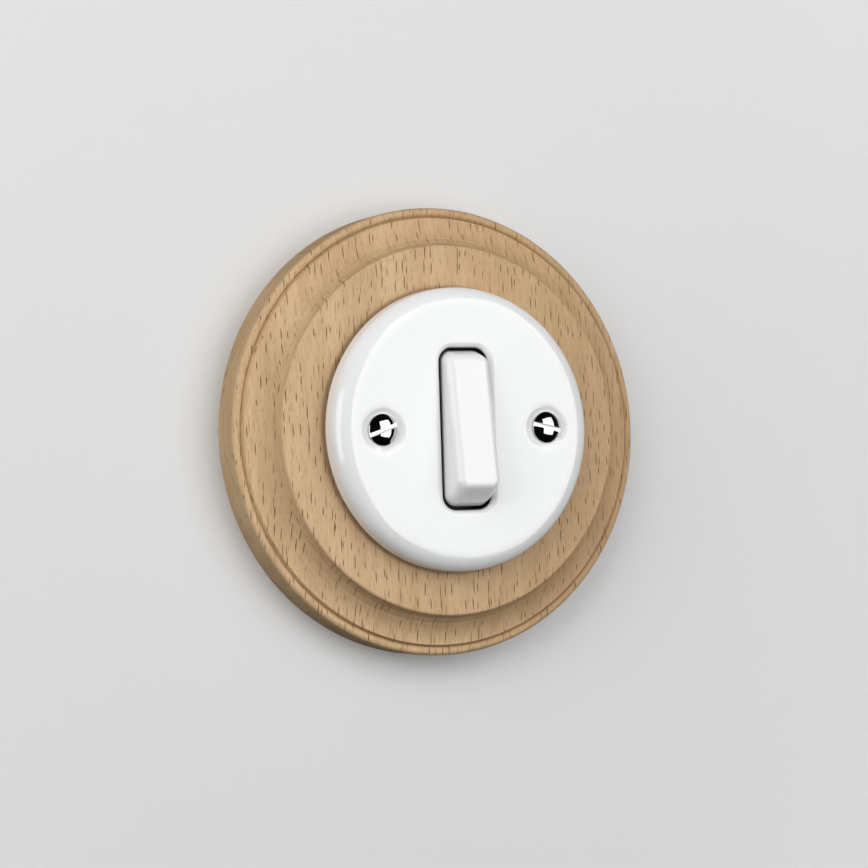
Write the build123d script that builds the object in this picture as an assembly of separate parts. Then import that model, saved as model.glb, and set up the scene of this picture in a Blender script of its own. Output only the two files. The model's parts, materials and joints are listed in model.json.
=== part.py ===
from build123d import *
import os
from math import cos, hypot, radians, sin, sqrt, tan

# Round flush-mounted rocker switch: a turned beech rosette, a glazed porcelain cover and the switch
# insert behind them. Millimetres, X to the right, Z up, Y into the wall. "Heights" are measured out
# from the wall plane, towards the person who uses the switch, so a height is a distance along -Y.

# Turned rosette
rosette_radius = 65.0
bead_height = 10.8
bead_width = 2.6
bead_corner_radius = 1.2
groove_depth = 0.8
groove_width = 0.5
cove_step = 1.4
disc_radius = 53.5
disc_height = 18.5
disc_edge_radius = 0.5
bore_radius = 25.0

# Porcelain cover
cover_radius = 41.0
cover_height = 9.1
cover_lean = 0.3
cover_rim_reach = 5.8
cover_rim_drop = 4.6
cover_foot_radius = 2.0
cover_front_wall = 3.2
cover_side_wall = 3.6
cover_inner_radius = 2.0
slot_length = 46.2
slot_width = 15.4
slot_corner_radius = 4.2
slot_lip_radius = 2.0
dish_radius = 7.0
dish_floor_radius = 4.9
dish_depth = 0.9
dish_lip_radius = 4.5
cover_boss_radius = 5.5

# Dark liner in the cover's slot
liner_wall = 0.2
liner_recess = 1.1
liner_flange_width = 1.6
liner_flange_thickness = 0.5

# Cover screws and the threaded pillars that take them
screw_spacing = 52.6
screw_radius = 2.0
screw_head_radius = 4.6
screw_head_edge = 0.5
screw_head_dome = 1.7
screw_shoulder_radius = 0.4
screw_slot_width = 1.2
screw_slot_depth = 1.1
left_slot_angle = 20.0
right_slot_angle = -14.0
pillar_radius = 3.6
pillar_height = 3.0
pillar_spigot_radius = 3.0

# Mounting strap
strap_thickness = 1.5
strap_rim_clearance = 2.0
box_screw_spacing = 60.0
box_hole_radius = 2.2
strap_window_corner = 2.0

# Rocker key
half_swing = 8.0
pivot_rise = 1.0
key_proud = 5.6
key_depth = 10.1
key_draft = 3.5
key_foot_corner = 3.6
key_face_corner = 3.2
key_edge_radius = 2.4
key_wall = 1.8
key_roof = 2.3
key_section_shares = (0.0, 0.35, 0.65, 0.85, 1.0)
key_roof_corner = 0.9

# Toggle core that carries the key
core_radius = 3.4
tube_radius = 3.1
core_block_length = 17.0
trunnion_radius = 1.8
spring_bore_radius = 2.2
spring_bore_top = 6.0
tube_reach = 8.0

# Plunger and its spring
plunger_reach = 12.0
plunger_tip_radius = 1.5
plunger_guide_top = 4.5
plunger_guide_end = 8.8
spring_wire_radius = 0.28
spring_turns = 7

# Bearing plate and base of the insert
plate_thickness = 3.0
cheek_thickness = 3.0
cheek_half_length = 4.5
cheek_wall = 1.1
plate_window_length = 12.6
base_depth = 24.5
base_edge_radius = 1.0
chamber_width = 16.0
chamber_length = 28.0
chamber_corner = 2.0
base_screw_spacing = 33.0
base_screw_radius = 1.5
base_screw_head_radius = 2.8
base_screw_head_height = 1.8
base_screw_slot_width = 0.8
base_screw_slot_depth = 0.9
base_screw_reach = 12.0

# Contacts
contact_half_swing = 5.0
contact_width = 6.4
contact_length = 22.6
contact_thickness = 0.8
contact_web_height = 1.8
ear_thickness = 1.0
ear_radius = 1.6
contact_pin_radius = 1.0
contact_pin_overhang = 0.8
fork_wall = 0.4
contact_tip_radius = 1.6
contact_tip_thickness = 0.8
contact_tip_margin = 0.2

# Terminals at the back
terminal_thickness = 1.0
terminal_width = 4.0
tip_margin = 0.4
terminal_screw_offset = 16.5
terminal_pad_width = 8.0
terminal_screw_radius = 1.7
terminal_head_radius = 3.0
terminal_head_height = 2.0
terminal_slot_width = 0.9
terminal_slot_depth = 1.0
terminal_screw_reach = 4.5
clamp_thickness = 1.2
pocket_depth = 5.0
pocket_width = 10.0

# Clearances
bore_clearance = 1.0
key_end_gap = 0.28
key_side_gap = 0.5
liner_fit = 0.02
core_fit = 0.1
running_fit = 0.05
thread_fit = 0.05
pillar_gap = 0.3
swing_gap = 0.5
plunger_gap = 0.32
contact_gap = 0.09
strap_end_gap = 1.5

# Heights and sizes that follow from those above
cover_front = disc_height + cover_height
cover_inside = cover_front - cover_front_wall
cover_bore_radius = cover_radius - cover_side_wall
strap_front = disc_height + strap_thickness
strap_radius = cover_bore_radius - strap_rim_clearance
pillar_top = strap_front + pillar_height
screw_seat = cover_front - dish_depth
pivot_height = disc_height + pivot_rise
key_face = cover_front + key_proud - pivot_height
key_foot = key_face - key_depth
liner_width = slot_width - 2 * liner_fit
liner_length = slot_length - 2 * liner_fit
liner_corner = slot_corner_radius - liner_fit
liner_back = cover_inside - liner_flange_thickness
liner_front = cover_front - liner_recess
key_reach = hypot(liner_length / 2 - liner_wall, liner_back - pivot_height)
key_end_radius = key_reach - key_end_gap
key_half_width = slot_width / 2 - key_side_gap
core_half_width = key_half_width
cheek_inside = core_half_width + swing_gap
cheek_outside = cheek_inside + cheek_thickness
cheek_top = pivot_height + trunnion_radius + cheek_wall
base_radius = bore_radius - bore_clearance
base_front = disc_height - plate_thickness
base_back = base_front - base_depth
contact_face = contact_web_height + contact_thickness
contact_tip_offset = contact_length / 2 - contact_tip_margin - contact_tip_radius
swing = radians(half_swing)
contact_swing = radians(contact_half_swing)
tip_height = pivot_height - (plunger_reach - plunger_tip_radius) * cos(swing)
tip_drop = (plunger_reach - plunger_tip_radius) * sin(swing)
tip_clear = contact_face + plunger_tip_radius + plunger_gap
contact_pivot_height = tip_height - (tip_clear - tip_drop * sin(contact_swing)) / cos(contact_swing)
tip_back = contact_web_height - contact_tip_thickness
fixed_tip_front = (
    contact_pivot_height
    + tip_back * cos(contact_swing)
    - (contact_tip_offset + contact_tip_radius) * sin(contact_swing)
    - contact_gap
)
strip_front = fixed_tip_front - contact_tip_thickness
chamber_floor = strip_front - terminal_thickness
pad_seat = base_back + pocket_depth
pad_back = pad_seat - terminal_thickness
clamp_back = pad_back - clamp_thickness
fork_width = contact_width - 2 * (ear_thickness + core_fit)
fork_depth = 2 * (ear_radius - core_fit)
fork_top = contact_pivot_height + contact_pin_radius + fork_wall
way_stem_start = contact_tip_offset + contact_tip_radius + tip_margin

# The common way's terminal is on the right, and the two switched ways' are above and below
COMMON_TURN = 0.0
WAY_TURNS = (-90.0, 90.0)

# A plane whose local coordinates are radius and height, for turned pieces
turning_plane = Plane(origin=(0, 0, 0), x_dir=(1, 0, 0), z_dir=(0, 0, -1))


def prism(outline, low, high):
    """A prism on an outline given in X and Z, from one height to another."""
    return extrude(Plane.XZ.offset(low) * outline, amount=high - low)


def turned(*lines):
    """A solid of revolution about the switch's axis, from lines in radius and height."""
    return revolve(turning_plane * make_face(Curve() + list(lines)), axis=Axis.Y)


def rod(radius, low, high, x=0.0, z=0.0):
    """A round bar along the switch's axis."""
    return prism(Pos(x, z) * Circle(radius), low, high)


def cross_bar(radius, length):
    """A round bar along X, centred on the origin."""
    return Rot(0, 90, 0) * Cylinder(radius, length)


def rocker_place(solid):
    """Moves a solid from the rocker's own frame, where its axis is the origin, to its rest position."""
    return Pos(0, -pivot_height, 0) * Rot(-half_swing, 0, 0) * solid


def contact_place(solid):
    """Moves a solid from the moving contact's own frame to its rest position."""
    return Pos(0, -contact_pivot_height, 0) * Rot(contact_half_swing, 0, 0) * solid


def both_sides(spacing):
    """The two places, left and right, of a pair of fasteners."""
    return (-spacing / 2, spacing / 2)


def make_rosette():
    """Turned ring: a small bead at the rim, a quirk, a cove and a raised flat disc."""
    groove_radius = rosette_radius - bead_width
    groove_height = bead_height - groove_depth
    cove_radius = groove_radius - groove_width
    cove_height = groove_height + cove_step
    edge_height = disc_height - disc_edge_radius
    side = Line((rosette_radius, 0), (rosette_radius, bead_height - bead_corner_radius))
    corner = TangentArc(side @ 1, (rosette_radius - bead_corner_radius, bead_height), tangent=side % 1)
    bead = TangentArc(corner @ 1, (groove_radius, groove_height), tangent=corner % 1)
    quirk = Line(bead @ 1, (cove_radius, cove_height))
    cove = EllipticalCenterArc(
        (cove_radius, edge_height),
        cove_radius - disc_radius,
        edge_height - cove_height,
        start_angle=180,
        arc_size=90,
    )
    edge_end = (disc_radius - disc_edge_radius, disc_height)
    edge = TangentArc((disc_radius, edge_height), edge_end, tangent=(0, 1))
    face = Line(edge @ 1, (bore_radius, disc_height))
    bore = Line(face @ 1, (bore_radius, 0))
    back = Line(bore @ 1, side @ 0)
    rosette = turned(side, corner, bead, quirk, cove, edge, face, bore, back)
    for z in both_sides(box_screw_spacing):
        rosette -= rod(box_hole_radius, 0, disc_height, z=z)
    return rosette


def make_cover():
    """Thick-walled porcelain cap with a soft rim, a slot for the key and a dish round each screw."""
    rim_start = cover_front - cover_rim_drop
    rim_radius = cover_radius - cover_lean
    foot = Line((0, disc_height), (cover_radius, disc_height))
    side = Line(foot @ 1, (rim_radius, rim_start))
    rim_centre = (rim_radius - cover_rim_reach, rim_start)
    rim = EllipticalCenterArc(rim_centre, cover_rim_reach, cover_rim_drop, start_angle=0, arc_size=90)
    front = Line(rim @ 1, (0, cover_front))
    axis = Line(front @ 1, foot @ 0)
    cover = turned(foot, side, rim, front, axis)
    cover = fillet(cover.edges().sort_by(Axis.Y)[-1], cover_foot_radius)
    cavity = rod(cover_bore_radius, disc_height, cover_inside)
    cavity = fillet(cavity.edges().sort_by(Axis.Y)[0], cover_inner_radius)
    cover -= cavity
    cover -= prism(RectangleRounded(slot_width, slot_length, slot_corner_radius), disc_height, cover_front)
    lip = cover.edges().group_by(Axis.Y)[0].sort_by_distance((0, -cover_front, 0))[:8]
    cover = fillet(lip, slot_lip_radius)
    for x in both_sides(screw_spacing):
        cover += rod(cover_boss_radius, pillar_top + pillar_gap, cover_inside, x=x)
        dish = Plane.XZ.offset(screw_seat) * Pos(x, 0) * Circle(dish_floor_radius)
        mouth = Plane.XZ.offset(cover_front) * Pos(x, 0) * Circle(dish_radius)
        cover -= loft([dish, mouth])
        cover -= rod(screw_radius + core_fit, disc_height, cover_front, x=x)
        brim = cover.edges().group_by(Axis.Y)[0].sort_by_distance((x, -cover_front, 0))[0]
        cover = fillet(brim, dish_lip_radius)
    return cover


def make_liner():
    """Thin dark sleeve that lines the cover's slot from behind, with a flange on the cover's inside."""
    reach = 2 * liner_flange_width
    flange = RectangleRounded(liner_width + reach, liner_length + reach, liner_corner + liner_flange_width)
    sleeve = RectangleRounded(liner_width, liner_length, liner_corner)
    wall = 2 * liner_wall
    opening = RectangleRounded(liner_width - wall, liner_length - wall, liner_corner - liner_wall)
    liner = prism(flange, liner_back, cover_inside) + prism(sleeve, liner_back, liner_front)
    return liner - prism(opening, liner_back, liner_front)


def make_cover_screw(x, slot_angle):
    """Slotted screw with a low domed head, in the dish of the cover."""
    edge_height = screw_seat + screw_head_edge
    top = edge_height + screw_head_dome
    side = Line((screw_head_radius, screw_seat), (screw_head_radius, edge_height))
    dome = TangentArc((0, top), side @ 1, tangent=(1, 0))
    axis = Line((0, top), (0, screw_seat))
    seat = Line(axis @ 1, side @ 0)
    head = turned(side, dome, axis, seat)
    rims = head.edges().filter_by(GeomType.CIRCLE).sort_by(SortBy.RADIUS)[:2]
    screw = fillet(rims.sort_by(Axis.Y)[0], screw_shoulder_radius)
    screw += rod(screw_radius, disc_height + thread_fit, screw_seat)
    slot = Rot(0, 0, slot_angle) * Rectangle(2 * screw_head_radius, screw_slot_width)
    screw -= prism(slot, top - screw_slot_depth, top)
    return Pos(x, 0, 0) * screw


def make_strap():
    """Stamped steel ring that clamps the rosette to the wall box and carries the insert."""
    strap = rod(strap_radius, disc_height, strap_front)
    window_width = 2 * (cheek_outside + swing_gap)
    window_length = 2 * (key_end_radius + strap_end_gap)
    window = RectangleRounded(window_width, window_length, strap_window_corner)
    strap -= prism(window, disc_height, strap_front)
    for z in both_sides(box_screw_spacing):
        strap -= rod(box_hole_radius, disc_height, strap_front, z=z)
    for x in both_sides(base_screw_spacing):
        strap -= rod(base_screw_radius + core_fit, disc_height, strap_front, x=x)
    for x in both_sides(screw_spacing):
        strap -= rod(pillar_spigot_radius, disc_height, strap_front, x=x)
    return strap


def make_pillar(x):
    """Threaded brass pillar riveted into the strap."""
    pillar = rod(pillar_radius, strap_front, pillar_top, x=x)
    pillar += rod(pillar_spigot_radius, disc_height, strap_front, x=x)
    return pillar - rod(screw_radius + thread_fit, disc_height, pillar_top, x=x)


def make_key():
    """Rocker key: its ends follow an arc about the pivot, its sides are drafted and it is hollow."""
    sections = []
    for share in key_section_shares:
        level = key_foot + share * key_depth
        half_length = sqrt(key_end_radius**2 - level**2)
        half_width = key_half_width - share * key_depth * tan(radians(key_draft))
        corner = key_foot_corner + share * (key_face_corner - key_foot_corner)
        sections.append(Plane.XZ.offset(level) * RectangleRounded(2 * half_width, 2 * half_length, corner))
    key = loft(sections)
    key = fillet(key.faces().sort_by(Axis.Y)[0].edges(), key_edge_radius)
    roof = key_face - key_roof
    mouth_width = 2 * (key_half_width - key_wall)
    mouth_length = 2 * (sqrt(key_end_radius**2 - key_foot**2) - key_wall)
    roof_width = mouth_width - 2 * key_depth * tan(radians(key_draft))
    roof_length = 2 * (sqrt(key_end_radius**2 - roof**2) - key_wall)
    mouth_corner = key_foot_corner - key_wall
    mouth = Plane.XZ.offset(key_foot) * RectangleRounded(mouth_width, mouth_length, mouth_corner)
    ceiling = Plane.XZ.offset(roof) * RectangleRounded(roof_width, roof_length, key_roof_corner)
    return rocker_place(key - loft([mouth, ceiling]))


def make_core():
    """Toggle core: trunnions, the block that fills the key's middle and the spring tube behind."""
    roof = key_face - key_roof
    block_width = 2 * (key_half_width - key_wall - core_fit - key_depth * tan(radians(key_draft)))
    core = cross_bar(core_radius, 2 * core_half_width)
    core += prism(Rectangle(block_width, core_block_length), core_radius / 2, roof)
    core += rod(tube_radius, -tube_reach, 0)
    core += cross_bar(trunnion_radius, 2 * (cheek_outside - core_fit))
    core -= rod(spring_bore_radius, -tube_reach, spring_bore_top)
    return rocker_place(core)


def make_plunger():
    """Round-nosed plunger that slides in the core's tube and rides over the moving contact."""
    guide_radius = spring_bore_radius - running_fit
    nose_start = plunger_reach - plunger_tip_radius
    plunger = rod(guide_radius, -plunger_guide_end, -plunger_guide_top)
    plunger += rod(plunger_tip_radius, -nose_start, -plunger_guide_end)
    plunger += Pos(0, nose_start, 0) * Sphere(plunger_tip_radius)
    return rocker_place(plunger)


def make_spring():
    """Compression spring between the end of the core's bore and the plunger."""
    length = spring_bore_top + plunger_guide_top - 2 * (spring_wire_radius + running_fit)
    coil_radius = spring_bore_radius - spring_wire_radius - 2 * running_fit
    coil = Helix(length / spring_turns, length, coil_radius)
    section = Plane(origin=coil @ 0, z_dir=coil % 0) * Circle(spring_wire_radius)
    wire = sweep(section, path=coil, is_frenet=True)
    start = plunger_guide_top - spring_wire_radius - running_fit
    return rocker_place(Pos(0, start, 0) * Rot(90, 0, 0) * wire)


def make_bearing_plate():
    """Plate that closes the base, with two cheeks that carry the core's trunnions."""
    plate = rod(base_radius, base_front, disc_height)
    for side in (-1, 1):
        middle = side * (cheek_inside + cheek_outside) / 2
        cheek = Pos(middle, 0) * Rectangle(cheek_thickness, 2 * cheek_half_length)
        plate += prism(cheek, disc_height, cheek_top)
    plate -= prism(RectangleRounded(2 * cheek_inside, plate_window_length, core_fit), base_front, cheek_top)
    plate -= Pos(0, -pivot_height, 0) * cross_bar(trunnion_radius + running_fit, 2 * cheek_outside)
    for x in both_sides(base_screw_spacing):
        plate -= rod(base_screw_radius + core_fit, base_front, disc_height, x=x)
    return plate


def strip_outline(start, end, width):
    """Outline of a stretch of strip that runs along +X."""
    return Pos((start + end) / 2, 0) * Rectangle(end - start, width)


def terminal_pocket(stem_start):
    """Recess in the back of the base, open to the back and to the side, for a terminal along +X."""
    return prism(strip_outline(stem_start - core_fit, bore_radius, pocket_width), base_back, pad_seat)


def stem_hole(stem_start, width):
    """Hole through the floor of the base for a terminal's stem."""
    stem_end = stem_start + terminal_thickness
    outline = strip_outline(stem_start - core_fit, stem_end + core_fit, width + 2 * core_fit)
    return prism(outline, base_back, chamber_floor)


def make_base():
    """Moulded base of the insert: the contact chamber in front and a terminal pocket for each way."""
    base = rod(base_radius, base_back, base_front)
    base = fillet(base.edges().sort_by(Axis.Y)[-1], base_edge_radius)
    chamber = RectangleRounded(chamber_width, chamber_length, chamber_corner)
    base -= prism(chamber, chamber_floor, base_front)
    base -= stem_hole(-terminal_thickness / 2, fork_depth)
    base -= terminal_pocket(-terminal_thickness / 2)
    for turn in WAY_TURNS:
        base -= Rot(0, turn, 0) * stem_hole(way_stem_start, terminal_width)
        base -= Rot(0, turn, 0) * terminal_pocket(way_stem_start)
    thread_radius = terminal_screw_radius + thread_fit
    thread_end = pad_seat + terminal_screw_reach
    for turn in (COMMON_TURN, *WAY_TURNS):
        base -= Rot(0, turn, 0) * rod(thread_radius, pad_seat, thread_end, x=terminal_screw_offset)
    for x in both_sides(base_screw_spacing):
        base -= rod(base_screw_radius + thread_fit, base_front - base_screw_reach, base_front, x=x)
    return base


def make_pad(stem_start):
    """The strip's end behind the base, with the terminal screw's hole."""
    pad_end = terminal_screw_offset + terminal_pad_width / 2
    pad = prism(strip_outline(stem_start, pad_end, terminal_pad_width), pad_back, pad_seat)
    return pad - rod(terminal_screw_radius + core_fit, pad_back, pad_seat, x=terminal_screw_offset)


def make_common_terminal():
    """Common way: a stem through the base with a fork in front that holds the moving contact's pin."""
    stem_start = -terminal_thickness / 2
    terminal = make_pad(stem_start)
    terminal += prism(strip_outline(stem_start, -stem_start, fork_depth), pad_seat, chamber_floor)
    terminal += prism(Rectangle(fork_width, fork_depth), chamber_floor, fork_top)
    return terminal - Pos(0, -contact_pivot_height, 0) * cross_bar(contact_pin_radius, fork_width)


def make_fixed_way(turn):
    """Switched way: a strip under one end of the moving contact, bent through the base to its pad."""
    stem_end = way_stem_start + terminal_thickness
    strip = strip_outline(contact_tip_offset - contact_tip_radius, stem_end, terminal_width)
    way = prism(strip, chamber_floor, strip_front)
    way += prism(strip_outline(way_stem_start, stem_end, terminal_width), pad_seat, chamber_floor)
    return Rot(0, turn, 0) * (way + make_pad(way_stem_start))


def make_contact():
    """Moving contact: a brass web with two ears that turn on the pin."""
    contact = prism(Rectangle(contact_width, contact_length), contact_web_height, contact_face)
    for side in (-1, 1):
        x = side * (contact_width - ear_thickness) / 2
        ear = Pos(x, 0, 0) * cross_bar(ear_radius, ear_thickness)
        ear += prism(Pos(x, 0) * Rectangle(ear_thickness, 2 * ear_radius), 0, contact_web_height)
        contact += ear
    contact -= cross_bar(contact_pin_radius + running_fit, contact_width)
    return contact_place(contact)


def make_contact_pin():
    """Steel pin through the fork and the moving contact's ears."""
    length = contact_width + 2 * contact_pin_overhang
    return Pos(0, -contact_pivot_height, 0) * cross_bar(contact_pin_radius, length)


def make_base_screw(x):
    """Screw that holds the strap, the bearing plate and the base together."""
    head_top = strap_front + base_screw_head_height
    screw = rod(base_screw_head_radius, strap_front, head_top, x=x)
    screw += rod(base_screw_radius, base_front - base_screw_reach, strap_front, x=x)
    slot = Pos(x, 0) * Rectangle(2 * base_screw_head_radius, base_screw_slot_width)
    return screw - prism(slot, head_top - base_screw_slot_depth, head_top)


def make_terminal_screw(turn):
    """Screw that clamps a wire under its plate, driven from the back."""
    head_back = clamp_back - terminal_head_height
    shank_end = pad_seat + terminal_screw_reach
    screw = rod(terminal_head_radius, head_back, clamp_back, x=terminal_screw_offset)
    screw += rod(terminal_screw_radius, clamp_back, shank_end, x=terminal_screw_offset)
    slot = Pos(terminal_screw_offset, 0) * Rectangle(terminal_slot_width, 2 * terminal_head_radius)
    screw -= prism(slot, head_back, head_back + terminal_slot_depth)
    return Rot(0, turn, 0) * screw


def make_clamp(turn):
    """Square clamp plate under a terminal screw's head."""
    side = terminal_pad_width - 2 * core_fit
    plate = prism(Pos(terminal_screw_offset, 0) * Rectangle(side, side), clamp_back, pad_back)
    plate -= rod(terminal_screw_radius + core_fit, clamp_back, pad_back, x=terminal_screw_offset)
    return Rot(0, turn, 0) * plate


def make_moving_tip(side):
    """Silver tip on the back of one end of the moving contact."""
    return contact_place(rod(contact_tip_radius, tip_back, contact_web_height, z=side * contact_tip_offset))


def make_fixed_tip(side):
    """Silver tip on the front of a switched way."""
    return rod(contact_tip_radius, strip_front, fixed_tip_front, z=side * contact_tip_offset)


left, right = both_sides(screw_spacing)
nodes = {
    "wood_rosette": make_rosette(),
    "porcelain_cover": make_cover(),
    "slot_liner": make_liner(),
    "cover_screws": Compound(
        [make_cover_screw(left, left_slot_angle), make_cover_screw(right, right_slot_angle)]
    ),
    "mounting_strap": make_strap(),
    "threaded_pillars": Compound([make_pillar(left), make_pillar(right)]),
    "bearing_plate": make_bearing_plate(),
    "switch_base": make_base(),
    "base_screws": Compound([make_base_screw(x) for x in both_sides(base_screw_spacing)]),
    "rocker_key": make_key(),
    "toggle_core": make_core(),
    "plunger": make_plunger(),
    "plunger_spring": make_spring(),
    "moving_contact": make_contact(),
    "moving_contact_tips": Compound([make_moving_tip(side) for side in (-1, 1)]),
    "contact_pin": make_contact_pin(),
    "common_terminal": make_common_terminal(),
    "upper_terminal": make_fixed_way(WAY_TURNS[0]),
    "lower_terminal": make_fixed_way(WAY_TURNS[1]),
    "fixed_contact_tips": Compound([make_fixed_tip(side) for side in (-1, 1)]),
    "terminal_screws": Compound([make_terminal_screw(turn) for turn in (COMMON_TURN, *WAY_TURNS)]),
    "clamp_plates": Compound([make_clamp(turn) for turn in (COMMON_TURN, *WAY_TURNS)]),
}

os.makedirs("parts", exist_ok=True)
for name, solid in nodes.items():
    export_step(solid, f"parts/{name}.step")
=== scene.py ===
import json
import math

import bmesh
import bpy
from mathutils import Matrix, Vector


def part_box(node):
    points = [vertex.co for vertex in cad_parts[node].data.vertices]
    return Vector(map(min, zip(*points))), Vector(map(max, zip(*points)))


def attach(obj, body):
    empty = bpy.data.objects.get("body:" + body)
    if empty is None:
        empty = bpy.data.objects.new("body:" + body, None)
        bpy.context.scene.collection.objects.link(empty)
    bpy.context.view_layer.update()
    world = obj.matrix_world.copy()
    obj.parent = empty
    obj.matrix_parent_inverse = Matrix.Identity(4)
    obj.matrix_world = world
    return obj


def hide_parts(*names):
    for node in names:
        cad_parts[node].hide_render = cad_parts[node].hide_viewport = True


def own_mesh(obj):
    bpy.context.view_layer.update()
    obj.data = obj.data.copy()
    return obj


# Looks of a round flush-mounted rocker switch: a turned beech rosette, a glazed porcelain cover, a white
# rocker key and the insert behind them. Metres; +Y goes into the wall and +Z up. Sizes of single pieces
# are in millimetres, and "heights" are measured out from the wall.

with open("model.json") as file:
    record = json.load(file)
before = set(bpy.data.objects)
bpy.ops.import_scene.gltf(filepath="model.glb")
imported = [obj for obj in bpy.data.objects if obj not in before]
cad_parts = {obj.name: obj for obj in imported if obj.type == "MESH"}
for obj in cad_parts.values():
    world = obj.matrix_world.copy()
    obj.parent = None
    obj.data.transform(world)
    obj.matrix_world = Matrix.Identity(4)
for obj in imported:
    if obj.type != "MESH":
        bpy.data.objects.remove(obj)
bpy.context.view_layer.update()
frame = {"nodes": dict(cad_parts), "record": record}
nodes = frame["nodes"]
MM = 0.001

# Turned rosette
rosette_low, rosette_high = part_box("wood_rosette")
RIM_RADIUS = rosette_high[0] / MM
DISC_HEIGHT = -rosette_low[1] / MM
BEAD_HEIGHT = 10.8
BEAD_WIDTH = 2.6
BEAD_CORNER = 1.2
GROOVE_DEPTH = 0.8
GROOVE_WIDTH = 0.5
COVE_STEP = 1.4
DISC_RADIUS = 53.5
DISC_EDGE = 0.8
BORE_RADIUS = 25.0
BACK_EDGE = 0.3
FACE_SUPPORT = 0.4
BEAD_CORNER_STEPS = 8
BEAD_STEPS = 6
DISC_EDGE_STEPS = 6
COVE_STEPS = 60
SCORED_STEPS = (31, 42, 52)
SCORE_DEPTH = 0.12
BOX_SCREW_SPACING = 60.0
BOX_HOLE_RADIUS = 2.2
COVER_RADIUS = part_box("porcelain_cover")[1][0] / MM
# Painted contact shadow on the wood round the cover's foot: its width in millimetres and its darkness at the
# cover's edge
COVER_SHADOW_WIDTH = 1.3
COVER_SHADOW_DARKNESS = 0.5

# Screws: the two of the cover, the two of the insert and the three of the terminals
COVER_SLOT_TURNS = (20.0, -14.0)
COVER_HEAD_RADIUS = 4.6
COVER_HEAD_EDGE = 0.5
COVER_SHOULDER = 0.4
COVER_SHANK_RADIUS = 2.0
COVER_SLOT = (1.2, 1.7)
COVER_HEAD_HEIGHT = 2.2
COVER_SLOT_MARGIN = 0.5
cover_low, cover_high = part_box("cover_screws")
cover_seat = cover_low[1] / MM + COVER_HEAD_HEIGHT
cover_offset = cover_high[0] / MM - COVER_HEAD_RADIUS
BASE_HEAD_RADIUS = 2.8
BASE_HEAD_HEIGHT = 1.8
BASE_SHANK_RADIUS = 1.5
BASE_SLOT = (0.8, 0.9)
TERMINAL_SCREW_OFFSET = 16.5
TERMINAL_HEAD_RADIUS = 3.0
TERMINAL_HEAD_HEIGHT = 2.0
TERMINAL_SHANK_RADIUS = 1.7
TERMINAL_SLOT = (0.9, 1.0)
HEAD_CORNER = 0.35
HEAD_CORNER_STEPS = 5
SHOULDER_STEPS = 8
DOME_STEPS = 16
FACES_FRONT = 1.0
FACES_BACK = -1.0
THREAD_PITCH = 0.7
THREAD_DEPTH = 0.28
THREAD_STEP = 0.09
PLAIN_STEPS = 8
SEAM_TOLERANCE = 0.001
ROSETTE_STEPS = 288
SCREW_STEPS = 72
HOLE_STEPS = 48
ROSETTE_SHARPNESS = 40
SCREW_SHARPNESS = 24

# Spring of the plunger; its places are measured out from the key's pivot
SPRING_BORE_END = 6.0
PLUNGER_TOP = -4.5
SPRING_TURNS = 7.0
SPRING_WIRE_RADIUS = 0.28
SPRING_FIT = 0.05
COIL_STEPS = 32
WIRE_STEPS = 12
SPRING_SHARPNESS = 60


# Small helpers for node trees


def add(tree, kind, inputs=None, **settings):
    """A new node, with its settings and with values or links on its inputs."""
    node = tree.nodes.new(kind)
    for key, value in settings.items():
        setattr(node, key, value)
    for key, value in (inputs or {}).items():
        if isinstance(value, bpy.types.NodeSocket):
            tree.links.new(value, node.inputs[key])
        else:
            node.inputs[key].default_value = value
    return node


def calc(tree, operation, first, second=0.0, third=0.0, clamp=False):
    """The result of one Math node."""
    values = {0: first, 1: second, 2: third}
    return add(tree, "ShaderNodeMath", values, operation=operation, use_clamp=clamp).outputs[0]


def spread(tree, value, low, high, new_low=0.0, new_high=1.0):
    """A value taken smoothly from one range to another."""
    values = {"Value": value, "From Min": low, "From Max": high, "To Min": new_low, "To Max": new_high}
    return add(tree, "ShaderNodeMapRange", values, interpolation_type="SMOOTHSTEP").outputs[0]


def combine(tree, x=0.0, y=0.0, z=0.0):
    """A vector from its three parts."""
    return add(tree, "ShaderNodeCombineXYZ", {"X": x, "Y": y, "Z": z}).outputs[0]


def separate(tree, vector):
    """The three parts of a vector."""
    return add(tree, "ShaderNodeSeparateXYZ", {0: vector}).outputs


def stretched(tree, scale, place=(0.0, 0.0, 0.0)):
    """Object coordinates in millimetres, multiplied by a scale along each axis."""
    where = add(tree, "ShaderNodeTexCoord").outputs["Object"]
    size = [s / MM for s in scale]
    return add(tree, "ShaderNodeMapping", {"Vector": where, "Scale": size, "Location": place}).outputs[0]


def noise(tree, scale, detail=2.0, roughness=0.5, place=(0.0, 0.0, 0.0)):
    """Noise from 0 to 1, with its scale in waves per millimetre along each axis."""
    vector = stretched(tree, scale, place)
    values = {"Vector": vector, "Scale": 1.0, "Detail": detail, "Roughness": roughness}
    return add(tree, "ShaderNodeTexNoise", values).outputs[0]


def tint(tree, share, first, second, blend="MIX"):
    """Two colours mixed by a share."""
    node = add(tree, "ShaderNodeMix", data_type="RGBA", blend_type=blend)
    for key, value in (("Factor", share), ("A", first), ("B", second)):
        socket = next(s for s in node.inputs if s.name == key and (key == "Factor" or s.type == "RGBA"))
        if isinstance(value, bpy.types.NodeSocket):
            tree.links.new(value, socket)
        elif key == "Factor":
            socket.default_value = value
        else:
            socket.default_value = (*value, 1.0)
    return next(s for s in node.outputs if s.type == "RGBA")


def finish(name):
    """A new material; returns it with its tree and its shader node."""
    material = bpy.data.materials.new(name)
    material.use_nodes = True
    tree = material.node_tree
    return material, tree, tree.nodes["Principled BSDF"]


def bump(tree, shader, height, depth):
    """Surface relief from a height of 0 to 1, at a depth in millimetres."""
    node = add(tree, "ShaderNodeBump", {"Height": height, "Strength": 1.0, "Distance": depth * MM})
    tree.links.new(node.outputs[0], shader.inputs["Normal"])


# Finishes


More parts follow.
